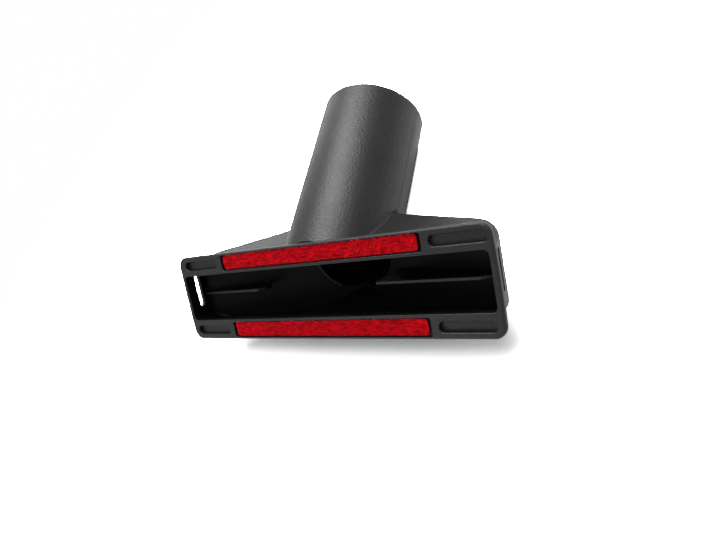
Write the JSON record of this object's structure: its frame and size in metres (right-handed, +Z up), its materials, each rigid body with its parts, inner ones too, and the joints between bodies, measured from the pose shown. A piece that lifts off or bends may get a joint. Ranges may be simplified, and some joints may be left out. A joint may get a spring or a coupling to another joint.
{
  "type": "vacuum upholstery nozzle",
  "caption": "Wide shallow suction head of black plastic on a round push-fit tube at an angle, with a red lint strip along each lip of its open mouth.",
  "frame": {"origin": "on the surface that the nozzle lies on, under the middle of its bounding box", "axes": "+X along the mouth, +Y along the tube towards its open end, +Z up"},
  "size_m": [0.126, 0.0912, 0.0391],
  "materials": {
    "black_plastic": "fine grain moulding, satin",
    "red_pile": "short directional pile"
  },
  "bodies": {
    "root": {"nozzle_body": "black_plastic", "upper_lint_strip": "red_pile", "lower_lint_strip": "red_pile"}
  },
  "joints": []
}
